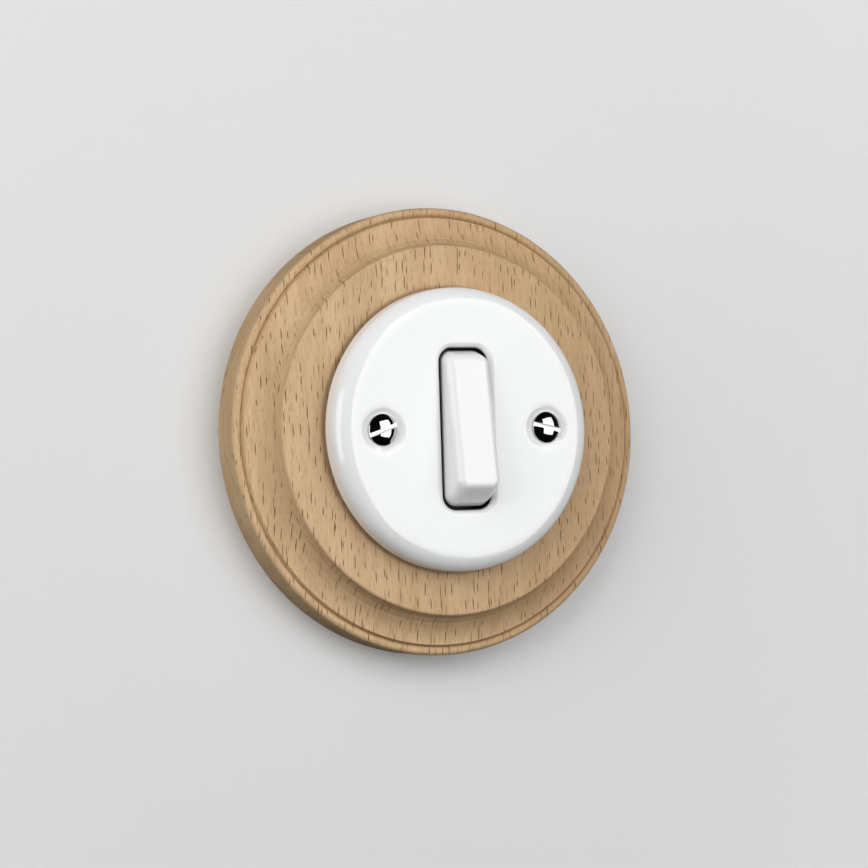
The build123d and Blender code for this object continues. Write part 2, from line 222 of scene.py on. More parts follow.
WOOD_TONES = ((0.655, 0.464, 0.267), (0.536, 0.361, 0.194))
BLOTCH_TONE = (0.643, 0.437, 0.259)
FIBRE_TONE = (0.388, 0.241, 0.118)
# The wood darkens steadily from left to right across the rosette
RIGHTWARD_TONE = (0.400, 0.236, 0.110)
RIGHTWARD_REACH = 60.0
RIGHTWARD_SHARE = 0.45
END_GRAIN_TONE = (0.29, 0.186, 0.10)
END_GRAIN_SHARE = 0.40
FINE_FLECK_TONE = (0.24, 0.118, 0.036)
FINE_FLECK_SHARE = 0.50
FLECK_TONE = (0.125, 0.048, 0.006)
FLECK_LENGTHS = (0.45, 1.1)
FLECK_STRENGTHS = (0.15, 1.0)
FLECK_EDGE = 0.30
GRAIN_WANDER = 1.6
WOOD_RELIEF = 0.06
WOOD_ROUGHNESS = (0.42, 0.56)
WOOD_SHINE = 0.3
WOOD_IOR = 1.45
GLAZE_TONES = ((0.805, 0.817, 0.823), (0.825, 0.831, 0.831))
GLAZE_ROUGHNESS = (0.04, 0.08)
GLAZE_WAVE = 0.10
GLAZE_IOR = 1.75
PINHOLE_TONE = (0.45, 0.44, 0.42)
PINHOLE_SHARE = 0.35
PINHOLE_SIZES = (0.012, 0.03)
PLASTIC_IOR = 1.49
UPRIGHT_LIMIT = 0.3


def ray_flecks(tree, across, along, cell, half_size, place):
    """Thin dark ray cells of the wood: one spindle in each cell, long along the grain."""
    flat = combine(
        tree, calc(tree, "DIVIDE", across, cell[0]), calc(tree, "DIVIDE", along, cell[1])
    )
    vector = add(tree, "ShaderNodeVectorMath", {0: flat, 1: (*place, 0.0)}, operation="ADD").outputs[0]
    cells = add(tree, "ShaderNodeTexVoronoi", {"Vector": vector, "Scale": 1.0}, voronoi_dimensions="2D")
    values = {0: vector, 1: cells.outputs["Position"]}
    offset = separate(tree, add(tree, "ShaderNodeVectorMath", values, operation="SUBTRACT").outputs[0])
    chance = add(tree, "ShaderNodeSeparateColor", {0: cells.outputs["Color"]}).outputs
    size = spread(tree, chance[0], 0.0, 1.0, *FLECK_LENGTHS)
    reach = calc(tree, "DIVIDE", calc(tree, "MULTIPLY", offset["Y"], cell[1] / half_size[1]), size)
    width = calc(tree, "SUBTRACT", 1.0, calc(tree, "MULTIPLY", reach, reach), clamp=True)
    side = calc(tree, "MULTIPLY", calc(tree, "ABSOLUTE", offset["X"]), cell[0] / half_size[0])
    inside = spread(tree, calc(tree, "SUBTRACT", width, side), 0.0, FLECK_EDGE)
    strength = spread(tree, chance[1], 0.0, 0.9, *FLECK_STRENGTHS)
    return calc(tree, "MULTIPLY", inside, strength)


def beech():
    """Oiled beech: upright grain, dark flecks, browner end grain, turning rings, and a painted contact shadow
    round the cover.
    """
    material, tree, shader = finish("oiled_beech")
    where = separate(tree, stretched(tree, (1.0, 1.0, 1.0)))
    normal = separate(tree, add(tree, "ShaderNodeNewGeometry").outputs["Normal"])
    wander = noise(tree, scale=(0.03, 0.02, 0.05), place=(7.0, 3.0, 2.0))
    drift = calc(tree, "MULTIPLY", calc(tree, "SUBTRACT", wander, 0.5), GRAIN_WANDER)
    streaks = noise(tree, scale=(0.16, 0.09, 0.010), detail=4.0, roughness=0.6)
    blotches = noise(tree, scale=(0.040, 0.03, 0.022), place=(4.0, 1.0, 9.0))
    fibres = noise(tree, scale=(1.7, 1.3, 0.13), detail=3.0, roughness=0.65, place=(2.0, 5.0, 1.0))
    colour = tint(tree, spread(tree, streaks, 0.30, 0.70), *WOOD_TONES)
    colour = tint(tree, spread(tree, blotches, 0.35, 0.70, 0.0, 0.5), colour, BLOTCH_TONE)
    colour = tint(tree, spread(tree, fibres, 0.35, 0.80, 0.0, 0.42), colour, FIBRE_TONE)
    # Darker towards +X: none at the left edge, a share of the darker tone at the right edge
    rightward = spread(tree, where["X"], -RIGHTWARD_REACH, RIGHTWARD_REACH, 0.0, RIGHTWARD_SHARE)
    colour = tint(tree, rightward, colour, RIGHTWARD_TONE)
    end_grain = calc(tree, "POWER", calc(tree, "ABSOLUTE", normal["Z"]), 2.0)
    colour = tint(tree, calc(tree, "MULTIPLY", end_grain, END_GRAIN_SHARE), colour, END_GRAIN_TONE)
    on_side = spread(tree, calc(tree, "ABSOLUTE", normal["X"]), 0.6, 0.85)
    facing = calc(tree, "SUBTRACT", 1.0, on_side)
    along_grain = calc(tree, "SUBTRACT", 1.0, calc(tree, "MULTIPLY", end_grain, 0.5))
    facing = calc(tree, "MULTIPLY", facing, along_grain)
    across = calc(tree, "ADD", where["X"], drift)
    depth = calc(tree, "ADD", where["Y"], drift)
    along = where["Z"]
    large = ray_flecks(tree, across, along, cell=(2.2, 4.6), half_size=(0.17, 2.6), place=(0.3, 0.7))
    small = ray_flecks(tree, across, along, cell=(1.4, 2.8), half_size=(0.11, 1.0), place=(5.1, 3.4))
    turned_away = ray_flecks(tree, depth, along, cell=(2.6, 6.0), half_size=(0.16, 1.8), place=(2.6, 8.8))
    large = calc(tree, "MULTIPLY", large, facing)
    small = calc(tree, "MULTIPLY", small, facing)
    flecks = calc(tree, "ADD", large, calc(tree, "MULTIPLY", turned_away, on_side))
    colour = tint(tree, calc(tree, "MULTIPLY", small, FINE_FLECK_SHARE), colour, FINE_FLECK_TONE)
    colour = tint(tree, flecks, colour, FLECK_TONE)
    sideways = combine(tree, where["X"], where["Z"])
    from_axis = add(tree, "ShaderNodeVectorMath", {0: sideways}, operation="LENGTH").outputs["Value"]
    # Painted contact shadow: just outside the cover's edge, the wood on faces that look out is darkened
    # towards the fleck tone
    shadow_end = COVER_RADIUS + COVER_SHADOW_WIDTH
    line = spread(tree, from_axis, COVER_RADIUS, shadow_end, COVER_SHADOW_DARKNESS, 0.0)
    in_front = spread(tree, normal["Y"], -0.9, -0.5, 1.0, 0.0)
    colour = tint(tree, calc(tree, "MULTIPLY", line, in_front), colour, FLECK_TONE)
    tree.links.new(colour, shader.inputs["Base Color"])
    ring_place = combine(tree, from_axis, where["Y"])
    rings = add(tree, "ShaderNodeTexNoise", {"Vector": ring_place, "Scale": 2.2, "Detail": 1.0}).outputs[0]
    relief = calc(tree, "ADD", calc(tree, "MULTIPLY", rings, 0.35), calc(tree, "MULTIPLY", fibres, 0.30))
    relief = calc(tree, "SUBTRACT", relief, calc(tree, "MULTIPLY", flecks, 0.4))
    bump(tree, shader, relief, WOOD_RELIEF)
    tree.links.new(spread(tree, fibres, 0.2, 0.8, *WOOD_ROUGHNESS), shader.inputs["Roughness"])
    shader.inputs["Specular IOR Level"].default_value = WOOD_SHINE
    shader.inputs["IOR"].default_value = WOOD_IOR
    return material


def porcelain():
    """White glaze: glossy, very slightly wavy, with a few pinholes."""
    material, tree, shader = finish("white_glaze")
    drift = noise(tree, scale=(0.03,) * 3)
    colour = tint(tree, drift, *GLAZE_TONES)
    pits = add(tree, "ShaderNodeTexVoronoi", {"Vector": stretched(tree, (0.16,) * 3), "Scale": 1.0})
    pinhole = spread(tree, pits.outputs["Distance"], *PINHOLE_SIZES, 1.0, 0.0)
    colour = tint(tree, calc(tree, "MULTIPLY", pinhole, PINHOLE_SHARE), colour, PINHOLE_TONE)
    tree.links.new(colour, shader.inputs["Base Color"])
    waves = noise(tree, scale=(0.09,) * 3, roughness=0.4)
    bump(tree, shader, waves, GLAZE_WAVE)
    tree.links.new(spread(tree, drift, 0.2, 0.8, *GLAZE_ROUGHNESS), shader.inputs["Roughness"])
    shader.inputs["IOR"].default_value = GLAZE_IOR
    return material


def moulded(name, light, dark, low, high, depth, shine=0.5):
    """Moulded plastic: a faint drift of tone, a fine skin and a roughness that varies."""
    material, tree, shader = finish(name)
    drift = noise(tree, scale=(0.05,) * 3, detail=3.0)
    skin = noise(tree, scale=(3.0,) * 3)
    tree.links.new(tint(tree, drift, dark, light), shader.inputs["Base Color"])
    tree.links.new(spread(tree, skin, 0.2, 0.8, low, high), shader.inputs["Roughness"])
    bump(tree, shader, skin, depth)
    shader.inputs["Specular IOR Level"].default_value = shine
    shader.inputs["IOR"].default_value = PLASTIC_IOR
    return material


def metal(name, light, dark, low, high, scale, depth):
    """Metal with soft mottling, and fine marks that change its roughness."""
    material, tree, shader = finish(name)
    mottle = noise(tree, scale=(0.25,) * 3, detail=4.0, roughness=0.6)
    marks = noise(tree, scale, detail=3.0, roughness=0.6)
    tree.links.new(tint(tree, mottle, dark, light), shader.inputs["Base Color"])
    tree.links.new(spread(tree, marks, 0.25, 0.75, low, high), shader.inputs["Roughness"])
    bump(tree, shader, marks, depth)
    shader.inputs["Metallic"].default_value = 1.0
    return material


def slotted_chrome():
    """Bright chrome, with painted shade: near black on the upright walls of the slots in the cover screws."""
    material = metal("bright_chrome", *CHROME_TONES, low=0.03, high=0.07, scale=(3.0,) * 3, depth=0.0005)
    tree = material.node_tree
    colour = tree.nodes["Principled BSDF"].inputs["Base Color"]
    where = separate(tree, stretched(tree, (1.0, 1.0, 1.0)))
    normal = separate(tree, add(tree, "ShaderNodeNewGeometry").outputs["Normal"])
    # Painted shade: the upright walls of the slots in the cover screws are made near-black chrome
    sideways = calc(tree, "SUBTRACT", calc(tree, "ABSOLUTE", where["X"]), cover_offset)
    values = {0: combine(tree, sideways, where["Z"])}
    from_axis = add(tree, "ShaderNodeVectorMath", values, operation="LENGTH").outputs["Value"]
    inside = calc(tree, "LESS_THAN", from_axis, COVER_HEAD_RADIUS - COVER_SLOT_MARGIN)
    upright = calc(tree, "LESS_THAN", calc(tree, "ABSOLUTE", normal["Y"]), UPRIGHT_LIMIT)
    wall = calc(tree, "MULTIPLY", inside, upright)
    tree.links.new(tint(tree, wall, colour.links[0].from_socket, SLOT_SHADE_TONE), colour)
    return material


KEY_TONES = ((0.832, 0.836, 0.838), (0.812, 0.816, 0.816))
INSERT_TONES = ((0.050, 0.048, 0.046), (0.030, 0.029, 0.028))
# Near-black, dull moulding inside the switch: partly its own dark plastic, partly painted shade standing for
# the deep shade in the gap round the key
CORE_AND_GAP_SHADE_TONES = ((0.010, 0.010, 0.011), (0.006, 0.006, 0.007))
NYLON_TONES = ((0.70, 0.67, 0.56), (0.64, 0.61, 0.50))
CHROME_TONES = ((0.56, 0.56, 0.57), (0.52, 0.52, 0.535))
# Painted shade for the slot walls of the cover screws
SLOT_SHADE_TONE = (0.02, 0.02, 0.025)
ZINC_TONES = ((0.68, 0.69, 0.70), (0.50, 0.51, 0.54))
BRASS_TONES = ((0.80, 0.60, 0.28), (0.66, 0.45, 0.18))
SPRING_TONES = ((0.42, 0.43, 0.45), (0.32, 0.33, 0.35))
SILVER_TONES = ((0.88, 0.86, 0.82), (0.76, 0.73, 0.68))
FINISHES = {
    "beech": beech(),
    "porcelain": porcelain(),
    "key_plastic": moulded("white_key_plastic", *KEY_TONES, low=0.08, high=0.12, depth=0.001, shine=0.8),
    "insert_plastic": moulded("insert_moulding", *INSERT_TONES, low=0.34, high=0.46, depth=0.010),
    "core_plastic": moulded("dark_core_moulding_and_gap_shade", *CORE_AND_GAP_SHADE_TONES, low=0.50, high=0.60, depth=0.010, shine=0.15),
    "nylon": moulded("plunger_nylon", *NYLON_TONES, low=0.35, high=0.45, depth=0.006),
    "chrome": slotted_chrome(),
    "zinc_steel": metal("zinc_plate", *ZINC_TONES, low=0.25, high=0.42, scale=(1.5,) * 3, depth=0.003),
    "brass": metal("rolled_brass", *BRASS_TONES, low=0.22, high=0.38, scale=(0.4, 0.4, 4.0), depth=0.003),
    "spring_steel": metal("spring_wire", *SPRING_TONES, low=0.22, high=0.35, scale=(3.0,) * 3, depth=0.002),
    "silver": metal("contact_silver", *SILVER_TONES, low=0.25, high=0.40, scale=(2.0,) * 3, depth=0.002),
}
slots = {part["node"]: part["material_slot"] for part in frame["record"]["subparts"]}
behaviour = frame["record"]["behaviour"]
bodies = {node: body for body, members in behaviour["bodies"].items() for node in members}
joints = {joint["name"]: joint for joint in behaviour["joints"]}
for node, slot in slots.items():
    nodes[node].data.materials.clear()
    nodes[node].data.materials.append(FINISHES[slot])


# Geometry trees


def geometry_tree(name, **kinds):
    """A new geometry tree with named inputs; returns it, its inputs and its output."""
    tree = bpy.data.node_groups.new(name, "GeometryNodeTree")
    tree.interface.new_socket("Geometry", in_out="INPUT", socket_type="NodeSocketGeometry")
    tree.interface.new_socket("Geometry", in_out="OUTPUT", socket_type="NodeSocketGeometry")
    for label, kind in kinds.items():
        tree.interface.new_socket(label.replace("_", " "), in_out="INPUT", socket_type="NodeSocket" + kind)
    given = add(tree, "NodeGroupInput").outputs
    return tree, given, add(tree, "NodeGroupOutput").inputs["Geometry"]


def whole(tree, operation, first, second):
    """The result of one Integer Math node."""
    return add(tree, "FunctionNodeIntegerMath", {0: first, 1: second}, operation=operation).outputs[0]


def sampled(tree, geometry, value, index, kind):
    """A value of one point of a geometry."""
    values = {"Geometry": geometry, "Value": value, "Index": index}
    return add(tree, "GeometryNodeSampleIndex", values, data_type=kind).outputs[0]


def marked(tree, name):
    """A value that the points of a mesh carry by name."""
    node = add(tree, "GeometryNodeInputNamedAttribute", {"Name": name}, data_type="FLOAT")
    return node.outputs["Attribute"]


def add_group(tree, group, values):
    """The geometry that another tree makes from the given values."""
    node = tree.nodes.new("GeometryNodeGroup")
    node.node_tree = group
    for key, value in values.items():
        if isinstance(value, bpy.types.NodeSocket):
            tree.links.new(value, node.inputs[key])
        else:
            node.inputs[key].default_value = value
    return node.outputs["Geometry"]


def turning():
    """Turns a profile about Z: radius in X, height in Z, and a thread that winds where points are marked."""
    sizes = dict(Steps_Around="Int", Thread_Pitch="Float", Thread_Depth="Float")
    tree, given, out = geometry_tree("turning", **sizes)
    profile, steps = given["Geometry"], given["Steps Around"]
    count = add(tree, "GeometryNodeAttributeDomainSize", {"Geometry": profile}).outputs["Point Count"]
    values = {"Vertices X": whole(tree, "ADD", steps, 1), "Vertices Y": count}
    grid = add(tree, "GeometryNodeMeshGrid", values).outputs["Mesh"]
    index = add(tree, "GeometryNodeInputIndex").outputs[0]
    along = whole(tree, "MODULO", index, count)
    turn = calc(tree, "DIVIDE", whole(tree, "DIVIDE_FLOOR", index, count), steps)
    place = add(tree, "GeometryNodeInputPosition").outputs[0]
    point = separate(tree, sampled(tree, profile, place, along, "FLOAT_VECTOR"))
    thread = sampled(tree, profile, marked(tree, "thread"), along, "FLOAT")
    winding = calc(tree, "SUBTRACT", calc(tree, "DIVIDE", point["Z"], given["Thread Pitch"]), turn)
    cut = calc(tree, "MULTIPLY", calc(tree, "PINGPONG", winding, 0.5), 2.0)
    cut = calc(tree, "MULTIPLY", calc(tree, "MULTIPLY", cut, given["Thread Depth"]), thread)
    radius = calc(tree, "SUBTRACT", point["X"], cut)
    angle = calc(tree, "MULTIPLY", turn, math.tau)
    x = calc(tree, "MULTIPLY", radius, calc(tree, "COSINE", angle))
    y = calc(tree, "MULTIPLY", radius, calc(tree, "SINE", angle))
    values = {"Geometry": grid, "Position": combine(tree, x, y, point["Z"])}
    turned = add(tree, "GeometryNodeSetPosition", values).outputs[0]
    values = {"Geometry": turned, "Distance": SEAM_TOLERANCE * MM}
    tree.links.new(add(tree, "GeometryNodeMergeByDistance", values).outputs[0], out)
    return tree


TURNING = turning()


def finished(tree, geometry, material, out):
    """Ends a tree: smooth faces, no instances left, and the material set."""
    smooth = add(tree, "GeometryNodeSetShadeSmooth", {"Geometry": geometry}).outputs[0]
    plain = add(tree, "GeometryNodeRealizeInstances", {"Geometry": smooth}).outputs[0]
    dressed = add(tree, "GeometryNodeSetMaterial", {"Geometry": plain, "Material": material}).outputs[0]
    tree.links.new(dressed, out)


def cut_from(tree, geometry, tool):
    """A solid less another."""
    node = add(tree, "GeometryNodeMeshBoolean", operation="DIFFERENCE", solver="EXACT")
    tree.links.new(geometry, node.inputs["Mesh 1"])
    tree.links.new(tool, node.inputs["Mesh 2"])
    return node.outputs["Mesh"]


def turned_rosette():
    """A turned ring that faces -Y, drilled for two box screws one above the other."""
    sizes = dict(Steps_Around="Int", Hole_Spacing="Float", Hole_Radius="Float", Hole_Length="Float")
    tree, given, out = geometry_tree("turned_rosette", **sizes, Material="Material")
    values = {"Geometry": given["Geometry"], "Steps Around": given["Steps Around"], "Thread Pitch": 1.0}
    ring = add_group(tree, TURNING, values)
    quarter = (math.pi / 2, 0.0, 0.0)
    ring = add(tree, "GeometryNodeTransform", {"Geometry": ring, "Rotation": quarter}).outputs[0]
    values = {"Vertices": HOLE_STEPS, "Radius": given["Hole Radius"], "Depth": given["Hole Length"]}
    drill = add(tree, "GeometryNodeMeshCylinder", values).outputs["Mesh"]
    drill = add(tree, "GeometryNodeTransform", {"Geometry": drill, "Rotation": quarter}).outputs[0]
    lowest = combine(tree, z=calc(tree, "MULTIPLY", given["Hole Spacing"], -0.5))
    step = combine(tree, z=given["Hole Spacing"])
    values = {"Count": 2, "Start Location": lowest, "Offset": step}
    places = add(tree, "GeometryNodeMeshLine", values).outputs[0]
    drills = add(tree, "GeometryNodeInstanceOnPoints", {"Points": places, "Instance": drill}).outputs[0]
    drills = add(tree, "GeometryNodeRealizeInstances", {"Geometry": drills}).outputs[0]
    finished(tree, cut_from(tree, ring, drills), given["Material"], out)
    return tree


def slotted_screws():
    """Threaded screws with a slotted head, one on each point of a mesh, turned as the point is marked."""
    slot_sizes = dict(Slot_Width="Float", Slot_Depth="Float", Facing="Float")
    sizes = dict(Head_Radius="Float", Head_Height="Float", Thread_Pitch="Float", Thread_Depth="Float")
    tree, given, out = geometry_tree(
        "slotted_screws", Profile="Object", Steps_Around="Int", **slot_sizes, **sizes, Material="Material"
    )
    profile = add(tree, "GeometryNodeObjectInfo", {"Object": given["Profile"]}).outputs["Geometry"]
    values = {key: given[key] for key in ("Steps Around", "Thread Pitch", "Thread Depth")}
    blank = add_group(tree, TURNING, {"Geometry": profile, **values})
    depth = calc(tree, "MULTIPLY", given["Slot Depth"], 2.0)
    length = calc(tree, "MULTIPLY", given["Head Radius"], 3.0)
    size = combine(tree, length, given["Slot Width"], depth)
    cutter = add(tree, "GeometryNodeMeshCube", {"Size": size}).outputs["Mesh"]
    values = {"Geometry": cutter, "Translation": combine(tree, z=given["Head Height"])}
    cutter = add(tree, "GeometryNodeTransform", values).outputs[0]
    screw = cut_from(tree, blank, cutter)
    swing = calc(tree, "MULTIPLY", calc(tree, "MULTIPLY", marked(tree, "turn"), given["Facing"]), -1.0)
    pitch = calc(tree, "MULTIPLY", given["Facing"], math.pi / 2)
    rotation = add(tree, "FunctionNodeEulerToRotation", {"Euler": combine(tree, pitch, swing)}).outputs[0]
    values = {"Points": given["Geometry"], "Instance": screw, "Rotation": rotation}
    finished(tree, add(tree, "GeometryNodeInstanceOnPoints", values).outputs[0], given["Material"], out)
    return tree


def coil_spring():
    """A wire wound about an axis that leans in the YZ plane, one coil from each point of a mesh."""
    sizes = dict(Turns="Float", Length="Float", Coil_Radius="Float", Wire_Radius="Float", Lean="Float")
    tree, given, out = geometry_tree("coil_spring", **sizes, Material="Material")
    values = {"Resolution": COIL_STEPS, "Rotations": given["Turns"], "Height": given["Length"]}
    values.update({"Start Radius": given["Coil Radius"], "End Radius": given["Coil Radius"]})
    line = add(tree, "GeometryNodeCurveSpiral", values).outputs[0]
    values = {"Resolution": WIRE_STEPS, "Radius": given["Wire Radius"]}
    section = add(tree, "GeometryNodeCurvePrimitiveCircle", values).outputs[0]
    values = {"Curve": line, "Profile Curve": section, "Fill Caps": True}
    coil = add(tree, "GeometryNodeCurveToMesh", values).outputs[0]
    rotation = add(tree, "FunctionNodeEulerToRotation", {"Euler": combine(tree, given["Lean"])}).outputs[0]
    values = {"Points": given["Geometry"], "Instance": coil, "Rotation": rotation}
    finished(tree, add(tree, "GeometryNodeInstanceOnPoints", values).outputs[0], given["Material"], out)
    return tree


def wire(name, points, joined=False, **marks):
    """A mesh of points in millimetres, joined in order or loose, with a value on each for every mark."""
    mesh = bpy.data.meshes.new(name)
    edges = [(i, i + 1) for i in range(len(points) - 1)] if joined else []
    mesh.from_pydata([[c * MM for c in p] for p in points], edges, [])
    for label, values in marks.items():
        mesh.attributes.new(label, "FLOAT", "POINT").data.foreach_set("value", values)
    return mesh


def grown(name, tree, source, node, sharp_angle, **values):
    """A plain mesh that a tree makes from a source mesh, standing for a CAD node."""
    piece = bpy.data.objects.new(name, source)
    bpy.context.collection.objects.link(piece)
    modifier = piece.modifiers.new(name, "NODES")
    modifier.node_group = tree
    sockets = [s for s in tree.interface.items_tree if s.item_type == "SOCKET" and s.in_out == "INPUT"]
    identifiers = {s.name: s.identifier for s in sockets}
    for label, value in values.items():
        modifier[identifiers[label.replace("_", " ")]] = value
    modifier[identifiers["Material"]] = FINISHES[slots[node]]
    mesh = bpy.data.meshes.new_from_object(piece.evaluated_get(bpy.context.evaluated_depsgraph_get()))
    piece.modifiers.remove(modifier)
    solid = bmesh.new()
    solid.from_mesh(mesh)
    bmesh.ops.recalc_face_normals(solid, faces=solid.faces)
    solid.to_mesh(mesh)
    solid.free()
    mesh.set_sharp_from_angle(angle=math.radians(sharp_angle))
    piece.data = mesh
    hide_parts(node)
    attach(piece, bodies[node])
    return piece


def arc(middle, radii, start, end, steps):
    """Points along an ellipse's arc, between two angles in degrees."""
    angles = [math.radians(start + (end - start) * i / steps) for i in range(steps + 1)]
    return [(middle[0] + radii[0] * math.cos(a), middle[1] + radii[1] * math.sin(a)) for a in angles]


def rosette_profile():
    """Section of the rosette in radius and height: bead, quirk, cove with scored lines, disc and bore."""
    groove_radius = RIM_RADIUS - BEAD_WIDTH
    groove_height = BEAD_HEIGHT - GROOVE_DEPTH
    cove_radius = groove_radius - GROOVE_WIDTH
    cove_height = groove_height + COVE_STEP
    edge_height = DISC_HEIGHT - DISC_EDGE
    corner_radius = RIM_RADIUS - BEAD_CORNER
    bead_reach = corner_radius - groove_radius
    bead_radius = (bead_reach**2 + GROOVE_DEPTH**2) / (2 * GROOVE_DEPTH)
    bead_end = 90 + math.degrees(math.asin(bead_reach / bead_radius))
    cove_size = (cove_radius - DISC_RADIUS, edge_height - cove_height)
    cove = arc((cove_radius, edge_height), cove_size, 270, 180, COVE_STEPS)
    for i in SCORED_STEPS:
        slope = Vector((cove[i][0] - cove_radius, cove[i][1] - edge_height)).normalized() * SCORE_DEPTH
        cove[i] = (cove[i][0] + slope.x, cove[i][1] + slope.y)
    section = [(RIM_RADIUS - BACK_EDGE, 0.0), (RIM_RADIUS, BACK_EDGE)]
    section += [(RIM_RADIUS, BEAD_HEIGHT - BEAD_CORNER - FACE_SUPPORT)]
    corner_height = BEAD_HEIGHT - BEAD_CORNER
    section += arc((corner_radius, corner_height), (BEAD_CORNER,) * 2, 0, 90, BEAD_CORNER_STEPS)
    bead_middle = (corner_radius, BEAD_HEIGHT - bead_radius)
    section += arc(bead_middle, (bead_radius,) * 2, 90, bead_end, BEAD_STEPS)[1:]
    section += cove
    disc_middle = (DISC_RADIUS - DISC_EDGE, edge_height)
    section += arc(disc_middle, (DISC_EDGE,) * 2, 0, 90, DISC_EDGE_STEPS)[1:]
    section += [(DISC_RADIUS - DISC_EDGE - FACE_SUPPORT, DISC_HEIGHT)]
    section += [(BORE_RADIUS + BACK_EDGE, DISC_HEIGHT), (BORE_RADIUS, DISC_HEIGHT - BACK_EDGE)]
    section += [(BORE_RADIUS, BACK_EDGE), (BORE_RADIUS + BACK_EDGE, 0.0)]
    return [(radius, 0.0, height) for radius, height in section + section[:1]]


grown(
    "turned_rosette",
    turned_rosette(),
    wire("rosette_profile", rosette_profile(), True),
    "wood_rosette",
    ROSETTE_SHARPNESS,
    Steps_Around=ROSETTE_STEPS,
    Hole_Spacing=BOX_SCREW_SPACING * MM,
    Hole_Radius=BOX_HOLE_RADIUS * MM,
    Hole_Length=3 * DISC_HEIGHT * MM,
)

SCREWS = slotted_screws()


def screw_profile(shank_radius, shank_length, head):
    """Section of a screw, from its tip to the top of its head; the seat is at height 0."""
    tip = [(0.0, -shank_length), (shank_radius - THREAD_DEPTH, -shank_length)]
    turns = int(shank_length / THREAD_STEP) - 1
    shank = [(shank_radius, -shank_length + THREAD_STEP * (i + 1)) for i in range(turns)]
    points = tip + shank + [(shank_radius, 0.0)] + head
    marks = [0.0] * len(tip) + [1.0] * (turns - PLAIN_STEPS) + [0.0] * (PLAIN_STEPS + 1 + len(head))
    return [(radius, 0.0, height) for radius, height in points], marks


def domed_head(radius, edge, height):
    """Head with a low dome over a straight edge, with a rounded shoulder between them."""
    rise = height - edge
    dome_radius = (radius**2 + rise**2) / (2 * rise)
    centre = height - dome_radius
    corner_x = radius - COVER_SHOULDER
    corner_z = centre + math.sqrt((dome_radius - COVER_SHOULDER) ** 2 - corner_x**2)
    slope = math.degrees(math.atan2(corner_z - centre, corner_x))
    shoulder = arc((corner_x, corner_z), (COVER_SHOULDER,) * 2, 0, slope, SHOULDER_STEPS)
    dome = arc((0.0, centre), (dome_radius,) * 2, slope, 90, DOME_STEPS)
    return [(radius, 0.0)] + shoulder + dome[1:]


def flat_head(radius, height):
    """Cylinder head with a rounded top edge."""
    middle = (radius - HEAD_CORNER, height - HEAD_CORNER)
    corner = arc(middle, (HEAD_CORNER,) * 2, 0, 90, HEAD_CORNER_STEPS)
    return [(radius, 0.0)] + corner + [(0.0, height)]


def set_of_screws(name, node, places, turns, head, head_size, shank, slot, facing):
    """The screws of one CAD node: their seats, the turn of each slot and the side that their heads face."""
    points, marks = screw_profile(*shank, head)
    blank = bpy.data.objects.new(name + "_profile", wire(name + "_profile", points, True, thread=marks))
    bpy.context.collection.objects.link(blank)
    grown(
        name,
        SCREWS,
        wire(name + "_places", places, turn=[math.radians(t) for t in turns]),
        node,
        SCREW_SHARPNESS,
        Profile=blank,
        Steps_Around=SCREW_STEPS,
        Thread_Pitch=THREAD_PITCH * MM,
        Thread_Depth=THREAD_DEPTH * MM,
        Slot_Width=slot[0] * MM,
        Slot_Depth=slot[1] * MM,
        Head_Radius=head_size[0] * MM,
        Head_Height=head_size[1] * MM,
        Facing=facing,
    )
    bpy.data.objects.remove(blank)


set_of_screws(
    "chrome_cover_screws",
    "cover_screws",
    [(-cover_offset, cover_seat, 0.0), (cover_offset, cover_seat, 0.0)],
    COVER_SLOT_TURNS,
    domed_head(COVER_HEAD_RADIUS, COVER_HEAD_EDGE, COVER_HEAD_HEIGHT),
    (COVER_HEAD_RADIUS, COVER_HEAD_HEIGHT),
    (COVER_SHANK_RADIUS, cover_high[1] / MM - cover_seat),
    COVER_SLOT,
    FACES_FRONT,
)
base_low, base_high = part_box("base_screws")
base_seat = base_low[1] / MM + BASE_HEAD_HEIGHT
base_offset = base_high[0] / MM - BASE_HEAD_RADIUS
set_of_screws(
    "insert_screws",
    "base_screws",
    [(-base_offset, base_seat, 0.0), (base_offset, base_seat, 0.0)],
    (0.0, 0.0),
    flat_head(BASE_HEAD_RADIUS, BASE_HEAD_HEIGHT),
    (BASE_HEAD_RADIUS, BASE_HEAD_HEIGHT),
    (BASE_SHANK_RADIUS, base_high[1] / MM - base_seat),
    BASE_SLOT,
    FACES_FRONT,
)
terminal_low, terminal_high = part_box("terminal_screws")
terminal_seat = terminal_high[1] / MM - TERMINAL_HEAD_HEIGHT
set_of_screws(
    "wire_clamp_screws",
    "terminal_screws",
    [
        (TERMINAL_SCREW_OFFSET, terminal_seat, 0.0),
        (0.0, terminal_seat, TERMINAL_SCREW_OFFSET),
        (0.0, terminal_seat, -TERMINAL_SCREW_OFFSET),
    ],
    (90.0, 0.0, 0.0),
    flat_head(TERMINAL_HEAD_RADIUS, TERMINAL_HEAD_HEIGHT),
    (TERMINAL_HEAD_RADIUS, TERMINAL_HEAD_HEIGHT),
    (TERMINAL_SHANK_RADIUS, terminal_seat - terminal_low[1] / MM),
    TERMINAL_SLOT,
    FACES_BACK,
)

